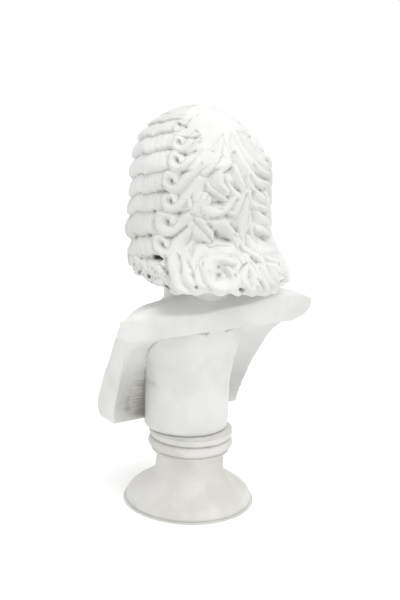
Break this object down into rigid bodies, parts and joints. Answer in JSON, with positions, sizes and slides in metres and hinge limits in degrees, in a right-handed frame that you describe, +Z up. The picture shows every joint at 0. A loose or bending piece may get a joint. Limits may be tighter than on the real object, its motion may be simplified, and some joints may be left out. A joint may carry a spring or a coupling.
{
  "type": "plaster bust",
  "caption": "Plaster bust of a calm adult figure in a long curled wig, coat and cravat, with cut-off shoulders and a hollow back, on a turned round socle.",
  "frame": {"origin": "centre of the socle's flat underside, on the surface that the bust stands on", "axes": "+Z up; the face looks along -Y; the wearer's left shoulder is towards +X; the hollow back faces +Y"},
  "size_m": [0.17, 0.1269, 0.3],
  "materials": {
    "bust_plaster": "matt cast plaster, off-white, with grey-brown dirt in the deep curls and yellowish stains behind",
    "socle_plaster": "matt cast plaster, off-white, a little darker than the bust, with dirt in the grooves"
  },
  "bodies": {
    "root": {"bust": "bust_plaster", "socle": "socle_plaster"}
  },
  "joints": []
}
